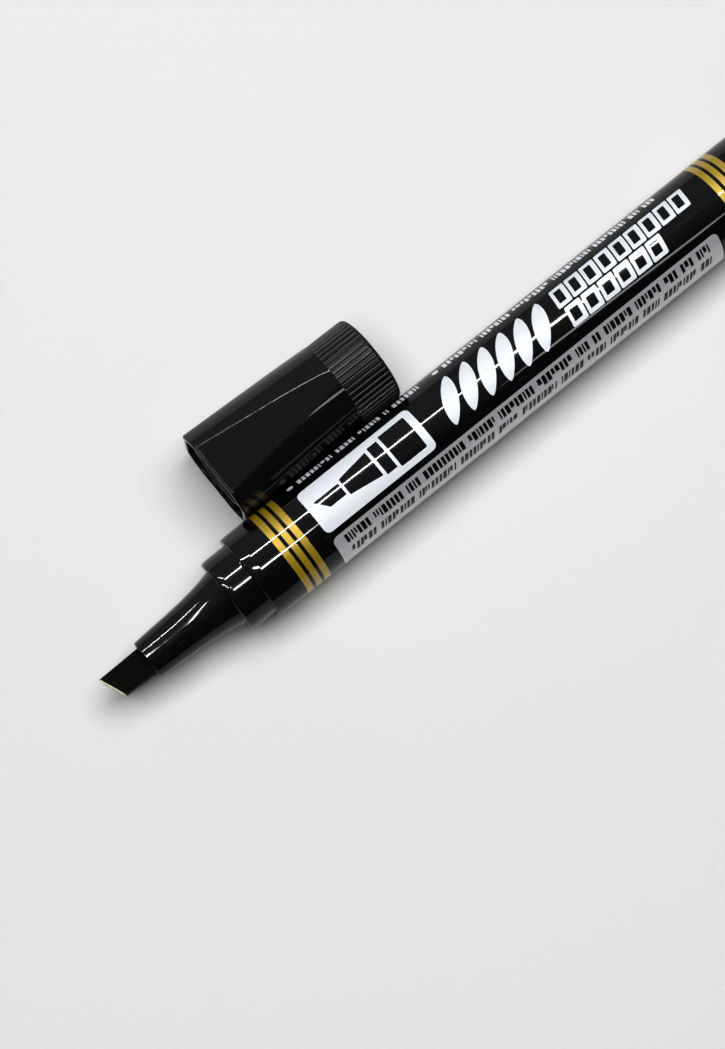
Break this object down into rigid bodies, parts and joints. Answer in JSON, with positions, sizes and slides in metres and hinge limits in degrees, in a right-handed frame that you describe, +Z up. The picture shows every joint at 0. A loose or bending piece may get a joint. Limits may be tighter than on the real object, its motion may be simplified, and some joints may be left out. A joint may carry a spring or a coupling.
{
  "type": "chisel marker",
  "caption": "Uncapped chisel-tip marker: round barrel, flared nozzle, fibre nib and ink reservoir, with its flat-sided, fluted-end cap lying beside it.",
  "frame": {"origin": "bottom centre of the box round the marker and its cap, on the surface they lie on", "axes": "+X along the barrel from nib to tail, +Y towards the cap, +Z up"},
  "size_m": [0.1392, 0.0318, 0.0162],
  "materials": {
    "barrel_black": "smooth glossy black, moulded",
    "holder_black": "glossy black, faint draw lines along the nozzle",
    "nib_felt": "matte compressed fibre soaked in black ink",
    "ink_fibre": "bonded fibre soaked in ink",
    "clear_film": "thin clear film",
    "plug_black": "glossy black",
    "cap_black": "glossy black with fine handling scratches on the flats",
    "liner_black": "semi-gloss black",
    "print_gold": "gold foil bands printed on the barrel",
    "print_white": "white ink printed on the barrel",
    "print_silver": "silver-grey ink printed on the barrel"
  },
  "bodies": {
    "marker": {"barrel": "barrel_black", "nib_holder": "holder_black", "chisel_nib": "nib_felt", "reservoir_core": "ink_fibre", "reservoir_wrap": "clear_film", "tail_plug": "plug_black"},
    "cap": {"cap_shell": "cap_black", "inner_cap": "liner_black"}
  },
  "joints": [
    {"name": "cap_slide", "type": "slide", "parent": "marker", "child": "cap", "axis": [-1, 0, 0], "range_m": [0, 0.025]}
  ]
}
